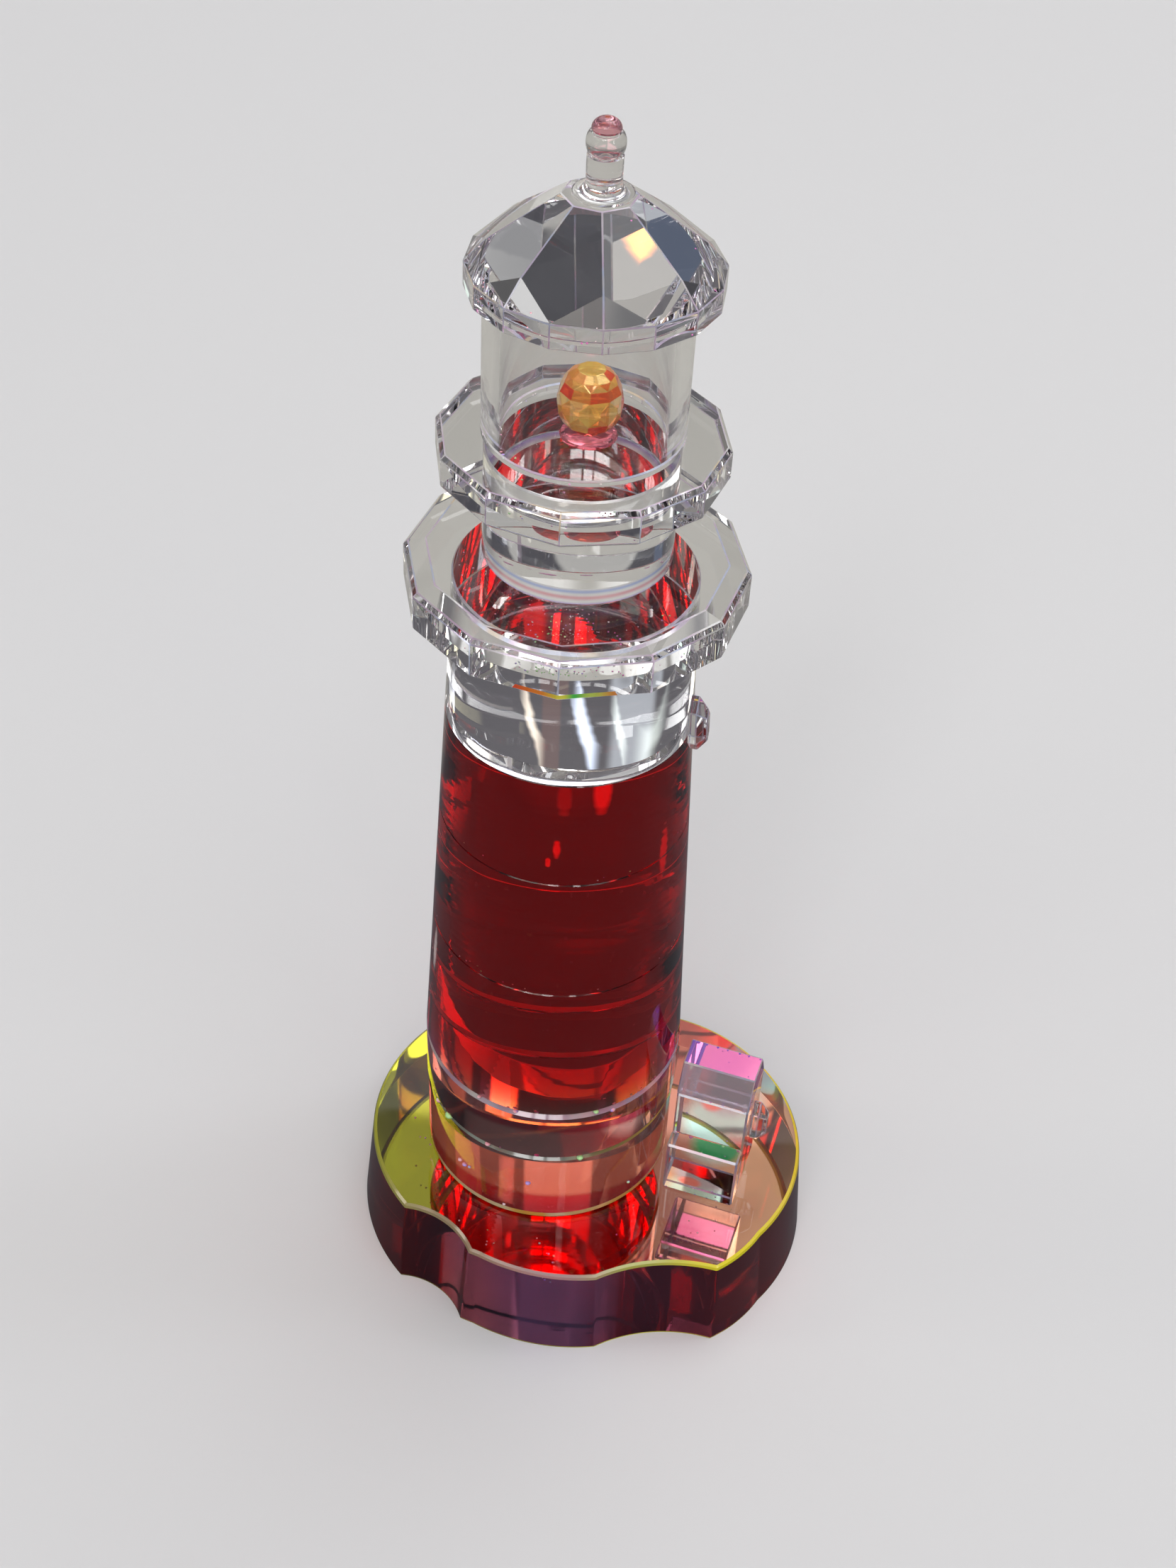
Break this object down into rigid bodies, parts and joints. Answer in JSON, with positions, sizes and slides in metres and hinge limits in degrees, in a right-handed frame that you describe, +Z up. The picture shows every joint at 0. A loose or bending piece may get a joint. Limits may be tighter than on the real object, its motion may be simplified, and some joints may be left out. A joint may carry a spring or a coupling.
{
  "type": "lighthouse figurine",
  "caption": "Cut crystal lighthouse ornament: ruby and clear tapering tower with faceted galleries, lantern tube, dome and finial, beside a small house on a wavy coated base",
  "frame": {"origin": "Middle of the base slab's outline, on the underside that rests on the table", "axes": "+Z runs up the tower, +X towards the house side as seen from the front, +Y to the back; the tower axis stands 5.15 mm to the left of the origin"},
  "size_m": [0.059, 0.051, 0.1538],
  "materials": {
    "iridescent_coating": "mirror-bright multicoloured interference film on the underside of the slab",
    "base_crystal": "polished, coloured by the film under it",
    "foot_crystal": "polished, coloured by the base under it",
    "ruby_crystal": "polished deep red crystal glass",
    "clear_crystal": "polished colourless crystal glass",
    "amber_crystal": "faceted amber to orange-red crystal with a coated sheen",
    "pink_crystal": "polished, faint pink",
    "magenta_crystal": "polished, magenta by reflection"
  },
  "bodies": {
    "root": {"base_coating": "iridescent_coating", "base_slab": "base_crystal", "foot_disc_lower": "foot_crystal", "foot_disc_upper": "foot_crystal", "tower_ruby_lower": "ruby_crystal", "tower_ruby_middle": "ruby_crystal", "tower_ruby_upper": "ruby_crystal", "tower_clear_section": "clear_crystal", "lower_gallery": "clear_crystal", "gallery_neck": "clear_crystal", "upper_gallery": "clear_crystal", "lantern_tube": "clear_crystal", "lamp_seat": "pink_crystal", "lamp_bead": "amber_crystal", "dome_roof": "clear_crystal", "finial_stem": "clear_crystal", "finial_ring_bead": "clear_crystal", "finial_cap": "pink_crystal", "tower_window": "clear_crystal", "house_block": "clear_crystal", "house_step": "clear_crystal", "house_roof": "magenta_crystal", "house_window": "clear_crystal"}
  },
  "joints": []
}
